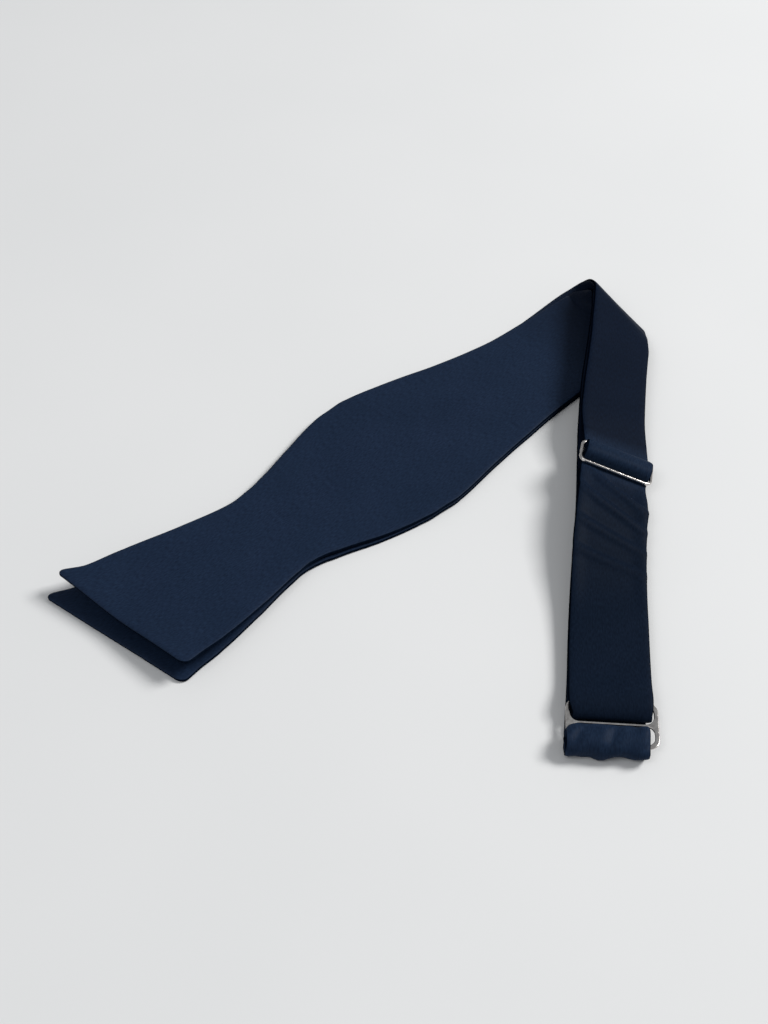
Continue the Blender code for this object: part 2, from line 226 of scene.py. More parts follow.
class Frame:
    """A place on the object: p runs to the right, q towards the fold and z up, after the three turns."""

    def __init__(self, centre, heading, roll=0.0, tilt=0.0):
        self.centre = centre
        leaning = Matrix.Rotation(roll, 3, "Y") @ Matrix.Rotation(-tilt, 3, "X")
        self.turn = (Matrix.Rotation(heading, 3, "Z") @ leaning).to_4x4()

    def at(self, p, q, z=0.0):
        return self.centre + self.turn.to_3x3() @ Vector((p, q, z))

    def world(self, offset=(0, 0, 0)):
        return Matrix.Translation((self.at(*offset) - MIDDLE) * MM) @ self.turn


def run(frame, path, half):
    """Stations for a band that follows a path of (q, z) points in a frame."""
    return [(frame.at(-half, q, z), frame.at(half, q, z)) for q, z in path]


def arc(centre_q, centre_z, radius, start, end, steps):
    angles = [radians(start + (end - start) * k / steps) for k in range(steps + 1)]
    return [(centre_q + radius * cos(a), centre_z + radius * sin(a)) for a in angles]


def band_roll(q):
    return ROLL * smooth_step(q, ROLL_START, ROLL_END)


def band_station(q, height, left=0.0, right=0.0):
    """Edge points of a band layer whose middle is a height above the middle of the lowest layer."""
    edge = BAND_START + turned(BAND_HEADING, BAND / 2, q, LEVEL_1)
    frame = Frame(edge, BAND_HEADING, band_roll(q))
    return frame.at(left - BAND, 0, height), frame.at(right, 0, height)


def shares_across(width):
    """Columns across a strip as shares of its width, close together at its edges."""
    low = [d / width for d in EDGE_COLUMNS]
    middle = [low[-1] + (1 - 2 * low[-1]) * k / INNER_COLUMNS for k in range(1, INNER_COLUMNS)]
    return low + middle + [1 - share for share in reversed(low)]


def edge_profile(distance):
    """Half the thickness of a layer at a distance from its turned edge."""
    share = min(max(distance / EDGE_ROLL, 0.0), 1.0)
    return EDGE_HALF + (LAYER / 2 - EDGE_HALF) * sqrt(1 - (1 - share) ** 2)


def flat_relief(u, v):
    return 0.0


def middle_surface(stations, relief):
    """How far along each row of the middle surface is, its points, their places across and its normals."""
    rows = len(stations)
    along = [0.0]
    for before, after in zip(stations, stations[1:]):
        along.append(along[-1] + ((after[0] + after[1] - before[0] - before[1]) / 2).length)
    middle, across = [], []
    for i, (left, right) in enumerate(stations):
        before = stations[max(i - 1, 0)]
        after = stations[min(i + 1, rows - 1)]
        forward = (after[0] + after[1] - before[0] - before[1]).normalized()
        width = right - left
        normal = width.cross(forward).normalized()
        row, places = [], []
        for share in shares_across(width.length):
            u = (share - 0.5) * width.length
            row.append(left + width * share + normal * relief(u, along[i]))
            places.append((u, min(share, 1 - share) * width.length))
        middle.append(row)
        across.append(places)
    columns = len(middle[0])
    normals = []
    for i in range(rows):
        row = []
        for j in range(columns):
            d_along = middle[min(i + 1, rows - 1)][j] - middle[max(i - 1, 0)][j]
            d_across = middle[i][min(j + 1, columns - 1)] - middle[i][max(j - 1, 0)]
            row.append(d_across.cross(d_along).normalized())
        normals.append(row)
    return along, middle, across, normals


def strip(
    name, stations, mats, relief=flat_relief, first=0, last=None, rounded_start=False, band=PLAIN_BAND,
):
    """A closed layer of cloth: the middle surface between the edge curves, thickened along its normal.

    The stations are the whole half of the tie, and this piece runs from the first to the last of them given,
    so that its surface goes on smoothly in the next piece.  relief(u, v) lifts the middle surface: u is
    across from the middle and v along from the tip, in millimetres.  The three materials are for the blade,
    for the stretch of v that is plain band, and for the turned edge.  No cloth sinks into the table."""
    along, middle, across, normals = middle_surface(stations, relief)
    columns = len(middle[0])
    mesh = bpy.data.meshes.new(name)
    bm = bmesh.new()
    uv_layer = bm.loops.layers.uv.new("cloth")
    uv_of = {}

    def vertex(place, u, v):
        resting = Vector((place.x, place.y, max(place.z, 0.0)))
        vert = bm.verts.new((resting - MIDDLE) * MM)
        uv_of[vert] = (u * MM, v * MM)
        return vert

    last = len(stations) - 1 if last is None else last
    seams = set()
    rings = []
    for i in range(first, last + 1):
        top, bottom = [], []
        for j in range(columns):
            u, from_edge = across[i][j]
            distance = from_edge
            if rounded_start:
                distance = min(distance, along[i])
            half = edge_profile(distance)
            top.append(vertex(middle[i][j] + normals[i][j] * half, u, along[i]))
            bottom.append(vertex(middle[i][j] - normals[i][j] * half, u, along[i]))
        inward = (middle[i][-1] - middle[i][0]).normalized() * SEAM_DEPTH
        left_seam = vertex(middle[i][0] + inward, across[i][0][0], along[i])
        right_seam = vertex(middle[i][-1] - inward, across[i][-1][0], along[i])
        seams.update((left_seam, right_seam, top[0], top[-1], bottom[0], bottom[-1]))
        rings.append((top, right_seam, bottom, left_seam))
    for (top, right, bottom, left), (top2, right2, bottom2, left2) in zip(rings, rings[1:]):
        for j in range(columns - 1):
            bm.faces.new((top[j], top[j + 1], top2[j + 1], top2[j]))
            bm.faces.new((bottom[j], bottom2[j], bottom2[j + 1], bottom[j + 1]))
        bm.faces.new((top[-1], right, right2, top2[-1]))
        bm.faces.new((right, bottom[-1], bottom2[-1], right2))
        bm.faces.new((left, top[0], top2[0], left2))
        bm.faces.new((bottom[0], left, left2, bottom2[0]))
    for index, sign, rounded in ((first, 1, rounded_start), (last, -1, False)):
        top, right, bottom, left = rings[index - first]
        inner = index + sign
        depth = SEAM_DEPTH if rounded else 0.0
        seam = [left]
        for j in range(1, columns - 1):
            ahead = (middle[inner][j] - middle[index][j]).normalized() * depth
            seam.append(vertex(middle[index][j] + ahead, across[index][j][0], along[index]))
        seam.append(right)
        if rounded:
            seams.update(seam)
        for j in range(columns - 1):
            upper = (top[j], seam[j], seam[j + 1], top[j + 1])
            lower = (seam[j], bottom[j], bottom[j + 1], seam[j + 1])
            for face in (upper, lower):
                bm.faces.new(face if sign > 0 else tuple(reversed(face)))
    for face in bm.faces:
        face.smooth = True
        v = uv_of[face.verts[0]][1]
        face.material_index = int(band[0] * MM < v < band[1] * MM)
        # Faces on the turned edge take the edge satin, darkened as painted shade.
        if any(vert in seams for vert in face.verts):
            face.material_index = 2
        for loop in face.loops:
            loop[uv_layer].uv = uv_of[loop.vert]
    bmesh.ops.recalc_face_normals(bm, faces=bm.faces)
    bm.to_mesh(mesh)
    bm.free()
    mesh.set_sharp_from_angle(angle=SHARP_EDGE)
    for mat in mats:
        mesh.materials.append(mat)
    obj = bpy.data.objects.new(name, mesh)
    bpy.context.scene.collection.objects.link(obj)
    return obj


# --- the cloth pieces' edge curves ----------------------------------------------------------------


def blade_steps(first, last):
    count = round((last - first) / BLADE_STEP)
    tip = [0.0, 0.12, 0.4, 0.9, 1.5, 2.1] if first == 0 else []
    start = CORNER if first == 0 else first
    return tip + [start + (last - start) * k / count for k in range(count + 1)]


UPPER_BEND = (
    (blade_point(198, 22.2, LEVEL_2), blade_point(197, -17.6, LEVEL_2)),
    ((69.6, 101.5, 2.4), (87.0, 65.5, 2.4)),
    ((74.5, 105.6, 2.7), (92.5, 71.0, 2.5)),
    ((76.4, 106.0, 3.6), (96.6, 76.0, 2.55)),
    ((78.4, 105.0, 5.6), (98.3, 77.4, 2.75)),
    ((80.6, 102.5, 8.4), (98.8, 77.6, 3.3)),
    ((82.0, 99.5, 10.8), (99.0, 76.0, 3.7)),
    ((82.0, 96.6, 12.2), (99.2, 74.0, 3.95)),
    ((81.5, 93.2, 12.55), (99.4, 72.0, 4.15)),
    ((81.1, 88.7, 12.25), (99.4, 69.6, 4.3)),
    ((79.9, 81.0, 11.9), (99.0, 66.0, 4.4)),
    ((78.6, 73.6, 11.5), (98.3, 61.8, 4.4)),
    ((75.8, 59.0, 11.0), (97.0, 53.8, 4.3)),
)
LOWER_BEND = (
    (blade_point(200, 23.6, LEVEL_1), blade_point(197, -18.0, LEVEL_1)),
    ((70.1, 106.1, 0.8), (89.0, 66.0, 0.8)),
    ((75.9, 111.0, 1.2), (95.5, 73.5, 0.9)),
    ((79.0, 112.6, 2.4), (99.6, 79.6, 1.25)),
    ((80.6, 111.7, 4.6), (101.0, 83.0, 2.3)),
    ((82.0, 108.7, 8.0), (101.0, 82.6, 3.5)),
    ((82.6, 104.5, 11.0), (100.9, 80.7, 4.5)),
    ((82.9, 100.4, 13.2), (100.9, 78.3, 5.1)),
    ((82.8, 96.8, 14.2), (101.0, 75.7, 5.65)),
    ((81.8, 89.0, 14.15), (100.8, 72.5, 6.1)),
    ((80.2, 79.1, 13.85), (100.5, 68.3, 6.3)),
    ((79.2, 71.8, 13.45), (99.8, 64.3, 6.3)),
    ((76.5, 57.1, 12.9), (98.1, 54.7, 6.1)),
)
FIXED_NEAR_FOLD = (
    ((75.8, 59.0, 11.0), (97.0, 53.8, 4.3)),
    ((74.3, 51.5, 10.8), (96.0, 47.2, 4.0)),
    ((73.0, 43.5, 10.4), (94.9, 40.2, 3.5)),
    ((71.8, 34.5, 9.5), (93.9, 32.0, 2.4)),
)
UPPER_NEAR_FOLD = (
    ((76.5, 57.1, 12.9), (98.1, 54.7, 6.1)),
    ((75.0, 49.5, 12.7), (97.1, 48.0, 6.0)),
    ((73.8, 42.5, 12.5), (96.1, 41.0, 5.8)),
    ((72.2, 31.8, 11.9), (94.7, 29.5, 5.3)),
)


def joined(*stretches):
    """One list of stations from stretches that each start where the last one ends, and those places."""
    stations, joins = list(stretches[0]), []
    for stretch in stretches[1:]:
        joins.append(len(stations) - 1)
        stations += stretch[1:]
    return stations, joins


def fixed_half(connector):
    """The upper blade, the inner bend, the fixed band and its roll round the connector."""
    blade = [
        blade_station(s, upper_blade_height(s), UPPER_SLANT, UPPER_TIP_AHEAD)
        for s in blade_steps(0, BLADE_END)
    ]
    root = [blade_station(s, LEVEL_2) for s in (BLADE_END, 170, 182)]
    bend = smoothed(root + list(UPPER_BEND), STATION_STEP)
    places = (118, 100, *(bow[0] for bow in BAND_BOW))
    straight = [band_station(q, 0.0, FIXED_ASIDE, FIXED_ASIDE) for q in places]
    band = smoothed([*FIXED_NEAR_FOLD, *straight, *connector_roll(connector)], 1.2)
    return joined(blade, bend, band)


def adjusting_half(slider, connector):
    """The lower blade, the outer bend, the run to the slider, and the loop from there round the connector."""
    blade = [
        blade_station(s, LEVEL_1, LOWER_SLANT, LOWER_TIP_AHEAD, LOWER_TIP_ASIDE)
        for s in blade_steps(0, BLADE_END)
    ]
    root = [blade_station(s, LEVEL_1) for s in (BLADE_END, 170, 182)]
    bend = smoothed(root + list(LOWER_BEND), STATION_STEP)
    far_bar = run(slider, [(SLIDER_PITCH + 1.7, -WRAP), (SLIDER_PITCH, -WRAP)], HUMP_HALF)
    upper_run = smoothed([*UPPER_NEAR_FOLD, *far_bar], STATION_STEP)
    return joined(blade, bend, upper_run, adjusting_loop(slider, connector))


def connector_roll(frame):
    """The fixed band's end: up round the near rim, down through the near slot and back under the rim."""
    path = [(-4.0, LEVEL_1)]
    path += arc(-CONNECTOR_RIM - 0.1, LEVEL_1 + 2.4, 2.4, -90, -270, 8)
    path += arc(-3.4, LEVEL_1 + 4.8 - 1.575, 1.575, 90, -90, 6)
    path += [(-6.0, LEVEL_2)]
    flare = [0.0] * 10 + [0.3, 0.9, 2.1]
    stations = []
    for k, (q, z) in enumerate(path):
        left = -14.0 + (flare[k] if k < len(flare) else 2.5)
        stations.append((frame.at(left, q, z), frame.at(9.9 + 0.7 * min(k / 6, 1.0), q, z)))
    return stations


def adjusting_loop(slider, connector):
    """Over the sewn loop, under the near bar, to the connector, round its far rim and back below."""
    rise = SLIDER_PITCH
    half_wide, high = rise - WRAP, rise - WRAP - 0.25
    path = arc(rise, 0, WRAP, -90, -180, 4)
    for k in range(1, 14):
        a = pi * k / 14
        path.append((copysign(abs(cos(a)) ** HUMP_SQUARE, cos(a)) * half_wide, sin(a) ** HUMP_SQUARE * high))
    path += arc(-rise, 0, WRAP, 0, -90, 4)
    path += [(-rise - 1.5, -WRAP)]
    top = run(slider, path, HUMP_HALF)
    top += [
        band_station(q, TOP_LEVEL + max(0.0, 0.02 * (q - 66)), left, right)
        for q, left, right in BAND_BOW
    ]
    bend = [(9.6, 5.7), (7.2, 5.75), (5.6, 5.55), (4.3, 5.1), (3.2, 4.45), (2.5, 3.85)]
    bend += arc(3.5, LEVEL_2 + 1.15, 1.15, 180, 270, 5) + [(9.0, LEVEL_2)]
    sides = ((12.9, 12.2), (12.9, 12.2), (12.7, 12.1), (12.2, 12.0))
    around = []
    for k, (q, z) in enumerate(bend):
        left, right = sides[k] if k < len(sides) else (11.8, 11.8)
        around.append((connector.at(-left, q, z), connector.at(right, q, z)))
    back = [
        band_station(q, RETURN_LEVEL, RETURN_BOW * left, RETURN_BOW * right)
        for q, left, right in reversed(BAND_BOW)
    ]
    end = run(slider, [(-SLIDER_PITCH - 1.4, -WRAP - STEP_UP - 0.1)], HUMP_HALF)
    return smoothed(top + around + back + end, STATION_STEP)


def sewn_loop_stations(slider):
    """The adjusting band's end, wrapped round the slider's centre bar and tacked down."""
    path = [(-SLIDER_PITCH - 1.1, -WRAP - STEP_UP - 0.1), (-3.0, -2.75), (-1.3, -1.95)]
    path += arc(0, 0, WRAP, -90, 190, 10)
    return smoothed(run(slider, path, HUMP_HALF), 0.6)


# --- relief ---------------------------------------------------------------------------------------


BLADE_FADE = (150, 190)

# Rucks in the band below the slider: distance from where it comes out, slope across, and depth.
SLIDER_EXIT = 16.0
RUCKS = ((7.0, 0.62, 1.15), (16.5, 0.55, 1.25), (27.5, 0.38, 0.95), (38.0, 0.28, 0.75))
RUCK_WIDTH = 1.5
RUCKS_LIFT = 0.75
RUCKS_END = 62.0
RUCKS_FADE_IN, RUCKS_FADE_OUT = 6.0, 14.0
RUCK_CREST, RUCK_CREST_WIDTH, RUCK_CREST_SHARE = 3.1, 1.8, 0.45

# The upper blade's tip sags in its middle, and the fold has a small pleat on its inner side.
TIP_SAG, TIP_SAG_WIDTH, TIP_SAG_FADE = 1.7, 17, (4, 36)
PLEAT, PLEAT_DEPTH, PLEAT_WIDTH = 217.5, 0.6, 1.6
PLEAT_CREST, PLEAT_CREST_HEIGHT, PLEAT_CREST_WIDTH = 5.0, 0.5, 2.4
PLEAT_SIDE = (-17, -6)


def undulation(u, v, size, height, seed):
    return height * noise.noise(Vector((u / size, v / size, seed)))


def soft_waves(u, v):
    """Broad on the blade, slighter round the fold and along the band."""
    on_blade = 1 - smooth_step(v, *BLADE_FADE)
    broad = undulation(u, v, 26.0, 0.36, 3.1) + undulation(u, v, 10.0, 0.10, 7.7)
    return on_blade * broad + (1 - on_blade) * undulation(u, v, 15.0, 0.08, 11.3)


def length_to(stations, index):
    """How far along the strip's middle a station is."""
    middles = [(left + right) / 2 for left, right in stations[:index + 1]]
    return sum((after - before).length for before, after in zip(middles, middles[1:]))


def slant_profile(x, width):
    return exp(-(x / width) ** 2)


def adjusting_relief(slider_at):
    """The adjusting half's waves, with slanting rucks where the band comes out from under the slider."""
    def relief(u, v):
        beyond = v - slider_at - SLIDER_EXIT
        height = soft_waves(u, v)
        if beyond < 0 or beyond > RUCKS_END:
            return height
        across = 1 - 0.55 * smooth_step(abs(u), 7, 12)
        fade_out = 1 - smooth_step(beyond, RUCKS_END - RUCKS_FADE_OUT, RUCKS_END)
        strength = across * smooth_step(beyond, 0, RUCKS_FADE_IN) * fade_out
        height += RUCKS_LIFT * strength
        for distance, slope, depth in RUCKS:
            offset = beyond - slope * u - distance
            crest = RUCK_CREST_SHARE * slant_profile(offset + RUCK_CREST, RUCK_CREST_WIDTH)
            height += depth * strength * (crest - slant_profile(offset, RUCK_WIDTH))
        return height
    return relief


def fixed_relief(total):
    """The fixed half's waves, with a puffy, pinched roll round the connector."""
    def relief(u, v):
        from_end = total - v
        at_roll = smooth_step(ROLL_LENGTH + 1 - from_end, 0, 6) * smooth_step(from_end, 4, 9)
        swirl = 0.62 * u + 0.75 * from_end + undulation(u, v, 7.0, 4.0, 2.2)
        puff = 0.42 * cos(swirl) + undulation(u, v, 4.5, 0.9, 5.9)
        at_side = 1 - smooth_step(u, *PLEAT_SIDE)
        crest = PLEAT_CREST_HEIGHT * slant_profile(v - PLEAT - PLEAT_CREST, PLEAT_CREST_WIDTH)
        pleat = crest - PLEAT_DEPTH * slant_profile(v - PLEAT, PLEAT_WIDTH)
        sag = TIP_SAG * slant_profile(u, TIP_SAG_WIDTH) * (1 - smooth_step(v, *TIP_SAG_FADE))
        return soft_waves(u, v) + at_roll * (puff + 0.25) + at_side * pleat - sag
    return relief


# --- metal ----------------------------------------------------------------------------------------


def rounded_outline(curve, width, depth, radius, centre_q=0.0):
    """A closed rounded rectangle as one spline of a 2D curve."""
    steps = 8
    points = []
    for sx, sy, start in ((1, 1, 0), (-1, 1, 90), (-1, -1, 180), (1, -1, 270)):
        for k in range(steps + 1):
            a = radians(start + 90 * k / steps)
            points.append((
                sx * (width / 2 - radius) + radius * cos(a),
                centre_q + sy * (depth / 2 - radius) + radius * sin(a),
            ))
    spline = curve.splines.new("POLY")
    spline.points.add(len(points) - 1)
    for point, (x, y) in zip(spline.points, points):
        point.co = (x * MM, y * MM, 0, 1)
    spline.use_cyclic_u = True


def stamped_plate(name, world, size, slots, thickness, rounding, mat):
    """A plate with slots and rounded rims: the outline is drawn in by the rounding, which swells it back."""
    curve = bpy.data.curves.new(name + "_outline", "CURVE")
    curve.dimensions = "2D"
    curve.fill_mode = "BOTH"
    curve.extrude = (thickness / 2 - rounding) * MM
    curve.bevel_depth = rounding * MM
    curve.bevel_resolution = 3
    width, depth, radius = size
    rounded_outline(curve, width - 2 * rounding, depth - 2 * rounding, radius - rounding)
    for width, depth, radius, centre_q in slots:
        rounded_outline(curve, width + 2 * rounding, depth + 2 * rounding, radius + rounding, centre_q)
    outline = bpy.data.objects.new(name + "_outline", curve)
    bpy.context.scene.collection.objects.link(outline)
    bpy.context.view_layer.update()
    mesh = bpy.data.meshes.new_from_object(outline.evaluated_get(bpy.context.evaluated_depsgraph_get()))
    bm = bmesh.new()
    bm.from_mesh(mesh)
    bmesh.ops.remove_doubles(bm, verts=bm.verts, dist=0.000005)
    bmesh.ops.recalc_face_normals(bm, faces=bm.faces)
    for face in bm.faces:
        face.smooth = True
    bm.to_mesh(mesh)
    bm.free()
    bpy.data.objects.remove(outline, do_unlink=True)
    mesh.name = name
    mesh.set_sharp_from_angle(angle=radians(50))
    mesh.materials.clear()
    mesh.materials.append(mat)
    obj = bpy.data.objects.new(name, mesh)
    obj.matrix_world = world
    bpy.context.scene.collection.objects.link(obj)
    return obj


def stitch_row(name, world, mat):
    """A bar tack as its threads: plump stitches laid close together, each a little aslant."""
    mesh = bpy.data.meshes.new(name)
    bm = bmesh.new()
    spans = round(TACK_LENGTH / STITCH_PITCH)
    for k in range(spans + 1):
        place = Matrix.Translation((TACK_LENGTH * (k / spans - 0.5) * MM, 0, 0))
        shape = Matrix.Diagonal((0.19 * MM, 0.36 * MM, 0.3 * MM, 1))
        lean = Matrix.Rotation(radians(18 + 7 * noise.noise(Vector((k * 0.7, 0, 0)))), 4, "Z")
        bmesh.ops.create_uvsphere(bm, u_segments=8, v_segments=6, radius=1.0, matrix=place @ lean @ shape)
    for face in bm.faces:
        face.smooth = True
    bm.to_mesh(mesh)
    bm.free()
    mesh.materials.append(mat)
    obj = bpy.data.objects.new(name, mesh)
    obj.matrix_world = world
    bpy.context.scene.collection.objects.link(obj)
    return obj


# --- materials ------------------------------------------------------------------------------------


SATIN_LOW = (0.0080, 0.0172, 0.0400)
SATIN_HIGH = (0.0096, 0.0196, 0.0450)
# Painted shade and light along the tie, by distance from its tip, as multipliers on the satin's colour:
# painted shade deepening into the fold, the bands painted darker than the blades for how their satin takes
# this light, and a painted highlight from 316 to 334 mm, where the adjusting band humps over the slider.
PAINTED_SHADE_LENGTH = 500.0
PAINTED_SHADE_STOPS = (
    (190, (1.0, 1.0, 1.0)), (210, (0.60, 0.62, 0.64)), (224, (0.34, 0.37, 0.41)), (311, (0.36, 0.38, 0.41)),
    (316, (1.05, 1.0, 0.94)), (334, (1.0, 0.95, 0.88)), (340, (0.55, 0.56, 0.56)), (352, (0.46, 0.46, 0.44)),
    (372, (0.45, 0.44, 0.42)), (398, (0.52, 0.51, 0.49)),
)


def multiplied(nodes, links, first, second):
    node = nodes.new("ShaderNodeMix")
    node.data_type = "RGBA"
    node.blend_type = "MULTIPLY"
    node.inputs["Factor"].default_value = 1.0
    links.new(first, node.inputs["A"])
    links.new(second, node.inputs["B"])
    return node.outputs["Result"]


def new_material(name):
    mat = bpy.data.materials.new(name)
    mat.use_nodes = True
    nodes, links = mat.node_tree.nodes, mat.node_tree.links
    return mat, nodes, links, nodes["Principled BSDF"]


def ramp(nodes, links, source, low, high, start=0.3, end=0.7):
    node = nodes.new("ShaderNodeValToRGB")
    node.color_ramp.elements[0].position = start
    node.color_ramp.elements[0].color = (*low, 1)
    node.color_ramp.elements[1].position = end
    node.color_ramp.elements[1].color = (*high, 1)
    links.new(source, node.inputs["Fac"])
    return node.outputs["Color"]


def cloth_noise(nodes, links, scale, stretch=(1, 1, 1), detail=2.0):
    """Noise laid out along the cloth, in its own u and v."""
    coords = nodes.new("ShaderNodeUVMap")
    coords.uv_map = "cloth"
    mapping = nodes.new("ShaderNodeMapping")
    mapping.inputs["Scale"].default_value = stretch
    links.new(coords.outputs["UV"], mapping.inputs["Vector"])
    node = nodes.new("ShaderNodeTexNoise")
    node.inputs["Scale"].default_value = scale
    node.inputs["Detail"].default_value = detail
    links.new(mapping.outputs["Vector"], node.inputs["Vector"])
    return node.outputs["Fac"]


def painted_shade_along_tie(nodes, links):
    """The painted shade and light along the tie, from its tip, as a multiplier on the colour."""
    coords = nodes.new("ShaderNodeUVMap")
    coords.uv_map = "cloth"
    parts = nodes.new("ShaderNodeSeparateXYZ")
    links.new(coords.outputs["UV"], parts.inputs["Vector"])
    share = nodes.new("ShaderNodeMath")
    share.operation = "DIVIDE"
    share.inputs[1].default_value = PAINTED_SHADE_LENGTH * MM
    links.new(parts.outputs["Y"], share.inputs[0])
    depth = nodes.new("ShaderNodeValToRGB")
    for _ in PAINTED_SHADE_STOPS[2:]:
        depth.color_ramp.elements.new(0.5)
    for element, (along, colour) in zip(depth.color_ramp.elements, PAINTED_SHADE_STOPS):
        element.position = along / PAINTED_SHADE_LENGTH
        element.color = (*colour, 1)
    links.new(share.outputs[0], depth.inputs["Fac"])
    return depth.outputs["Color"]


def satin_material(name, specular, sheen, painted_light_factor=1.0):
    """Fine navy satin, its colour multiplied by the painted shade and light along the tie;
    painted_light_factor darkens the turned edges as painted shade and brightens the connector roll as a
    painted highlight.
    """
    mat, nodes, links, shader = new_material(name)
    broad = cloth_noise(nodes, links, 60.0)
    threads = cloth_noise(nodes, links, 2600.0, (1.0, 0.25, 1.0))
    slubs = cloth_noise(nodes, links, 900.0, (0.22, 1.0, 1.0), 3.0)
    low = [value * painted_light_factor for value in SATIN_LOW]
    high = [value * painted_light_factor for value in SATIN_HIGH]
    tone = ramp(nodes, links, broad, low, high)
    # The painted shade and light along the tie multiply the colour here.
    tone = multiplied(nodes, links, tone, painted_shade_along_tie(nodes, links))
    fine = ramp(nodes, links, threads, (0.70, 0.71, 0.74), (1.32, 1.31, 1.27))
    links.new(multiplied(nodes, links, tone, fine), shader.inputs["Base Color"])
    gloss = nodes.new("ShaderNodeMapRange")
    gloss.inputs["To Min"].default_value = 0.46
    gloss.inputs["To Max"].default_value = 0.58
    links.new(slubs, gloss.inputs["Value"])
    links.new(gloss.outputs["Result"], shader.inputs["Roughness"])
    weave = nodes.new("ShaderNodeBump")
    weave.inputs["Strength"].default_value = 0.35
    weave.inputs["Distance"].default_value = 0.00006
    links.new(threads, weave.inputs["Height"])
    drift = nodes.new("ShaderNodeBump")
    drift.inputs["Strength"].default_value = 0.25
    drift.inputs["Distance"].default_value = 0.00012
    links.new(slubs, drift.inputs["Height"])
    links.new(weave.outputs["Normal"], drift.inputs["Normal"])
    links.new(drift.outputs["Normal"], shader.inputs["Normal"])
    shader.inputs["Specular IOR Level"].default_value = specular
    shader.inputs["Sheen Weight"].default_value = sheen
    shader.inputs["Sheen Roughness"].default_value = 0.45
    shader.inputs["Sheen Tint"].default_value = (0.55, 0.68, 0.95, 1)
    return mat


def thread_material():
    """Twisted sewing thread: fine slanting plies along each stitch."""
    mat, nodes, links, shader = new_material("navy_thread")
    coords = nodes.new("ShaderNodeTexCoord")
    plies = nodes.new("ShaderNodeTexWave")
    plies.inputs["Scale"].default_value = 2600.0
    plies.inputs["Distortion"].default_value = 1.5
    links.new(coords.outputs["Object"], plies.inputs["Vector"])
    tone = ramp(nodes, links, plies.outputs["Fac"], (0.006, 0.010, 0.022), (0.014, 0.022, 0.046))
    links.new(tone, shader.inputs["Base Color"])
    twist = nodes.new("ShaderNodeBump")
    twist.inputs["Strength"].default_value = 0.5
    twist.inputs["Distance"].default_value = 0.00005
    links.new(plies.outputs["Fac"], twist.inputs["Height"])
    links.new(twist.outputs["Normal"], shader.inputs["Normal"])
    shader.inputs["Roughness"].default_value = 0.7
    return mat


def nickel_material():
    mat, nodes, links, shader = new_material("polished_nickel")
    coords = nodes.new("ShaderNodeTexCoord")
    grain = nodes.new("ShaderNodeTexNoise")
    grain.inputs["Scale"].default_value = 900.0
    grain.inputs["Detail"].default_value = 4.0
    links.new(coords.outputs["Object"], grain.inputs["Vector"])
    tone = ramp(nodes, links, grain.outputs["Fac"], (0.60, 0.56, 0.54), (0.80, 0.77, 0.74))
    links.new(tone, shader.inputs["Base Color"])
    gloss = nodes.new("ShaderNodeMapRange")
    gloss.inputs["To Min"].default_value = 0.12
    gloss.inputs["To Max"].default_value = 0.30
    links.new(grain.outputs["Fac"], gloss.inputs["Value"])
    links.new(gloss.outputs["Result"], shader.inputs["Roughness"])
    shader.inputs["Metallic"].default_value = 1.0
    return mat


def table_material():
    mat, nodes, links, shader = new_material("pale_table")
    coords = nodes.new("ShaderNodeTexCoord")
    broad = nodes.new("ShaderNodeTexNoise")
    broad.inputs["Scale"].default_value = 9.0
    links.new(coords.outputs["Object"], broad.inputs["Vector"])
    tone = ramp(nodes, links, broad.outputs["Fac"], (0.78, 0.785, 0.79), (0.80, 0.803, 0.808))
    links.new(tone, shader.inputs["Base Color"])
    shader.inputs["Roughness"].default_value = 0.75
    shader.inputs["Specular IOR Level"].default_value = 0.25
    return mat


# --- the scene ------------------------------------------------------------------------------------


def place(point):
    """A design point in millimetres as a point of the frame in metres."""
    return (Vector(point) - MIDDLE) * MM


def add_camera():
    data = bpy.data.cameras.new("camera")
    data.lens = CAMERA_LENS
    data.sensor_width = 36.0
    data.clip_start = 0.01
    camera = bpy.data.objects.new("camera", data)
    camera.location = place(CAMERA_PLACE)
    camera.rotation_euler = (radians(90 - CAMERA_PITCH), 0, 0)
    bpy.context.scene.collection.objects.link(camera)
    bpy.context.scene.camera = camera


def add_light(name, location, target, size, watts, colour=(1, 1, 1)):
    data = bpy.data.lights.new(name, "AREA")
    data.shape = "RECTANGLE"
    data.size, data.size_y = size
    data.energy = watts
    data.color = colour
    light = bpy.data.objects.new(name, data)
    light.location = location
    light.rotation_euler = (Vector(target) - Vector(location)).to_track_quat("-Z", "Y").to_euler()
    bpy.context.scene.collection.objects.link(light)


def add_stage():
    bpy.ops.mesh.primitive_plane_add(size=6.0, location=(0, 0, -0.00005))
    table = bpy.context.object
    table.name = "table"
    table.data.materials.append(table_material())
    world = bpy.data.worlds.new("studio")
    world.use_nodes = True
    background = world.node_tree.nodes["Background"]
    background.inputs["Color"].default_value = (0.93, 0.965, 1.0, 1)
    background.inputs["Strength"].default_value = 0.28
    bpy.context.scene.world = world
    add_light("window", (1.65, 0.5, 1.5), (0, 0, 0), (0.75, 0.75), 47.0, (1.0, 0.995, 0.98))
    add_light("fill", (-0.7, -0.7, 1.5), (-0.2, 0.0, 0), (1.0, 0.8), 5.6)


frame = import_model()
add_camera()
add_stage()
bpy.context.scene.view_settings.view_transform = "Standard"

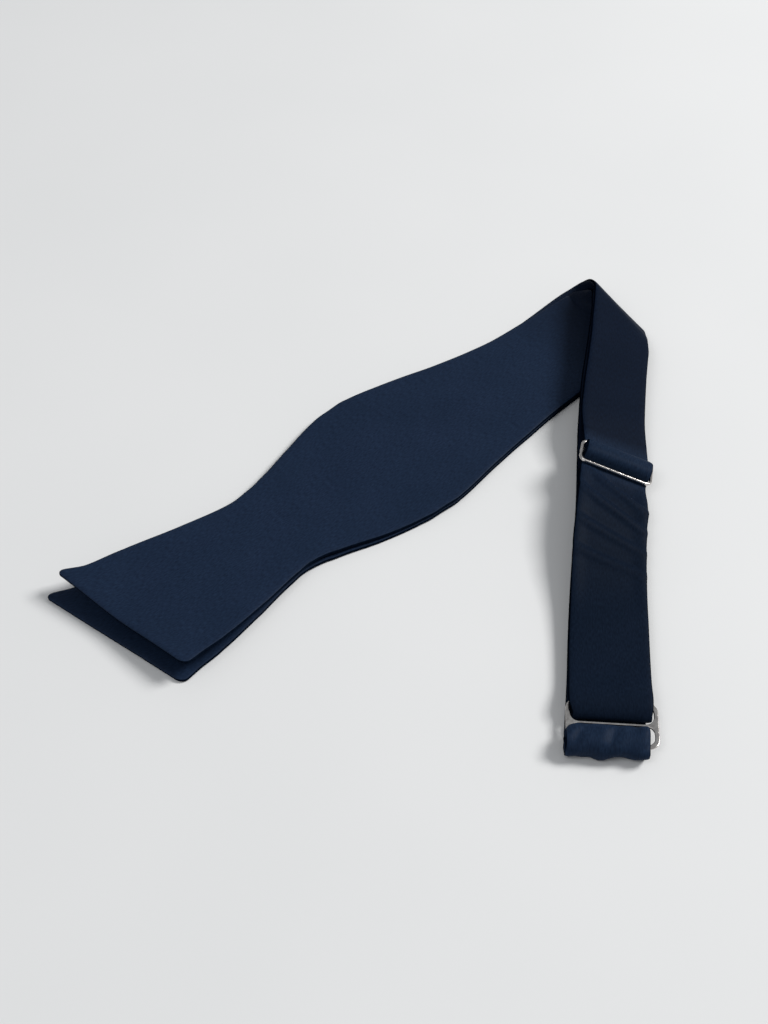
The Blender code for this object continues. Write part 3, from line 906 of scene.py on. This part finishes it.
# Blade, plain band and turned edge; the turned edge's satin is darkened as painted shade, and the band's
# rolled end has its own satin in place of the blade's, brightened twofold as a painted highlight.
satin = (
    satin_material("navy_satin", 0.07, 0.03),
    satin_material("navy_satin_band", 0.026, 0.010),
    satin_material("navy_satin_edge_painted_shade", 0.0, 0.0, 0.30),
)
satin_roll = (satin_material("navy_satin_roll_painted_highlight", 0.04, 0.03, 2.0), *satin[1:])
nickel = nickel_material()
thread = thread_material()
connector_frame = Frame(BAND_START, CONNECTOR_HEADING)
plate_frame = Frame(BAND_START + Vector((0, 0, CONNECTOR_HEIGHT)), CONNECTOR_HEADING)
slider_frame = Frame(SLIDER_CENTRE, SLIDER_HEADING, ROLL, SLIDER_TILT)


def stand_for(piece, slot_name, *bases):
    """The piece takes the place of the CAD panels and interlining of these layers, which are hidden here; the
    piece argument is not used.
    """
    for base in bases:
        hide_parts(base + "_front_panel", base + "_interlining", base + "_back_panel")


fixed, (blade_end, bend_end) = fixed_half(connector_frame)
fixed_waves = fixed_relief(length_to(fixed, len(fixed) - 1))
upper_blade = strip("upper_blade_cloth", fixed, satin, fixed_waves, last=blade_end, rounded_start=True)
stand_for(upper_blade, "satin", "upper_blade")
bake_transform(upper_blade)
upper_fold = strip("upper_fold_cloth", fixed, satin, fixed_waves, first=blade_end, last=bend_end)
stand_for(upper_fold, "satin", "upper_fold")
plain_band = (PLAIN_BAND[0], length_to(fixed, len(fixed) - 1) - ROLL_LENGTH)
fixed_band = strip("fixed_band_cloth", fixed, satin_roll, fixed_waves, first=bend_end, band=plain_band)
stand_for(fixed_band, "satin", "fixed_band", "connector_roll")
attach(fixed_band, "neck_bands")

adjusting, (blade_end, bend_end, run_end) = adjusting_half(slider_frame, connector_frame)
adjusting_waves = adjusting_relief(length_to(adjusting, run_end))
lower_half = strip("lower_half_cloth", adjusting, satin, adjusting_waves, last=bend_end, rounded_start=True)
stand_for(lower_half, "satin", "lower_blade", "lower_fold")
upper_run = strip("adjusting_band_cloth", adjusting, satin, adjusting_waves, first=bend_end, last=run_end)
stand_for(upper_run, "satin", "adjusting_band_upper")
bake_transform(upper_run)
loop = strip("adjusting_loop_cloth", adjusting, satin, adjusting_waves, first=run_end)
stand_for(loop, "satin", "adjusting_band_loop", "slider_hump")
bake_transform(loop)
sewn_stations = sewn_loop_stations(slider_frame)
sewn = strip("sewn_loop_cloth", sewn_stations, satin, band=(0.0, PLAIN_BAND[1]))
stand_for(sewn, "satin", "slider_sewn_loop")
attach(sewn, "sewn_loop")

roll_tack_place = connector_frame.world((-0.6, -7.1, LEVEL_2))
loop_tack_place = slider_frame.world((0, -2.1, -0.9))
for name, world, body, node in (
    ("connector_roll_stitches", roll_tack_place, "neck_bands", "connector_roll_tack"),
    ("sewn_loop_stitches", loop_tack_place, "sewn_loop", "sewn_loop_tack"),
):
    stitches = stitch_row(name, world, thread)
    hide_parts(node)
    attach(stitches, body)

# Round the fold the cloth runs along the blade, to its near side and upwards; here the fold pieces only have
# their placements baked into their meshes, and the numbers beside them are not used.
for piece, first, last in ((lower_half, 240, 262), (upper_fold, 240, 253)):
    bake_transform(piece)

slot_width = CONNECTOR_WIDTH - 2 * CONNECTOR_RAIL
slot_centre = (CONNECTOR_SLOT + CONNECTOR_BAR) / 2
connector = stamped_plate(
    "connector_metal", plate_frame.world(), (CONNECTOR_WIDTH, CONNECTOR_DEPTH, CONNECTOR_CORNER),
    [(slot_width, CONNECTOR_SLOT, 2.6, side * slot_centre) for side in (1, -1)],
    CONNECTOR_THICKNESS, 0.28, nickel,
)
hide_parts("connector_plate")
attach(connector, "connector")
slot_width = SLIDER_WIDTH - 2 * SLIDER_BAR
slot_depth = SLIDER_PITCH - SLIDER_BAR
slider = stamped_plate(
    "slider_metal", slider_frame.world(), (SLIDER_WIDTH, 2 * SLIDER_PITCH + SLIDER_BAR, SLIDER_CORNER),
    [(slot_width, slot_depth, 1.5, side * SLIDER_PITCH / 2) for side in (1, -1)],
    SLIDER_BAR, 0.4, nickel,
)
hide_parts("adjuster_slider")
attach(slider, "slider")
